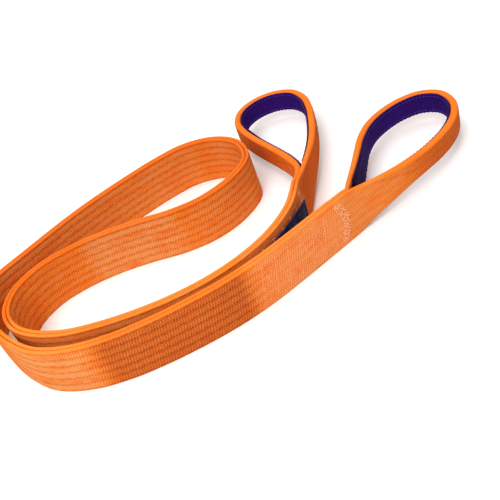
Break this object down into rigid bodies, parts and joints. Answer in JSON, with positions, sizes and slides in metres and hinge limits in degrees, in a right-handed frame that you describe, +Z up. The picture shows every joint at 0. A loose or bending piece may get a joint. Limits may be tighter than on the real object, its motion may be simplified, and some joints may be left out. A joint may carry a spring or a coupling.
{
  "type": "flat web sling",
  "caption": "Two-ply flat web lifting sling, orange, with a folded and lined eye at each end, standing on edge, folded once and bent into a U.",
  "frame": {"origin": "middle of the footprint, on the surface that the sling stands on", "axes": "+X from the turn of the U towards its open end, +Z up along the width of the webbing, +Y from leg A towards the back run"},
  "size_m": [0.4918, 0.3162, 0.05],
  "materials": {
    "webbing_orange": "woven, ribbed, matt",
    "lining_purple": "woven, matt",
    "sewing_thread": "twisted polyester thread",
    "lining_thread": "twisted polyester thread",
    "label_navy": "coated woven tag, plain"
  },
  "bodies": {
    "middle": {"middle_outer_ply": "webbing_orange", "middle_inner_ply": "webbing_orange"},
    "leg_a": {"leg_a_outer_ply": "webbing_orange", "leg_a_inner_ply": "webbing_orange", "leg_a_splice_thread_outer": "sewing_thread", "leg_a_splice_thread_inner": "sewing_thread", "leg_a_neck_thread_outer": "sewing_thread", "leg_a_neck_thread_inner": "sewing_thread"},
    "leg_b": {"leg_b_outer_ply": "webbing_orange", "leg_b_inner_ply": "webbing_orange", "leg_b_splice_thread_outer": "sewing_thread", "leg_b_splice_thread_inner": "sewing_thread", "leg_b_neck_thread_outer": "sewing_thread", "leg_b_neck_thread_inner": "sewing_thread"},
    "eye_a": {"eye_a_loop": "webbing_orange", "eye_a_lining": "lining_purple", "eye_a_lining_thread_upper": "lining_thread", "eye_a_lining_thread_lower": "lining_thread"},
    "eye_b": {"eye_b_loop": "webbing_orange", "eye_b_lining": "lining_purple", "eye_b_lining_thread_upper": "lining_thread", "eye_b_lining_thread_lower": "lining_thread"},
    "label": {"label": "label_navy"}
  },
  "joints": [
    {"name": "leg_a_bend", "type": "hinge", "parent": "middle", "child": "leg_a", "pos_m": [-0.24118, -0.04773, 0.025], "axis": [0, 0, 1], "range_deg": [-45, 0]},
    {"name": "leg_b_bend", "type": "hinge", "parent": "middle", "child": "leg_b", "pos_m": [-0.21357, -0.06701, 0.025], "axis": [0, 0, 1], "range_deg": [0, 10]},
    {"name": "eye_a_bend", "type": "hinge", "parent": "leg_a", "child": "eye_a", "pos_m": [0.0979, -0.09205, 0.025], "axis": [0, 0, 1], "range_deg": [-35, 10]},
    {"name": "eye_b_bend", "type": "hinge", "parent": "leg_b", "child": "eye_b", "pos_m": [0.0669, -0.04855, 0.025], "axis": [0, 0, 1], "range_deg": [-12, 5]},
    {"name": "label_lift", "type": "hinge", "parent": "leg_b", "child": "label", "pos_m": [0.01264, -0.12068, 0.025], "axis": [0, 0, 1], "range_deg": [-8, 0]}
  ]
}
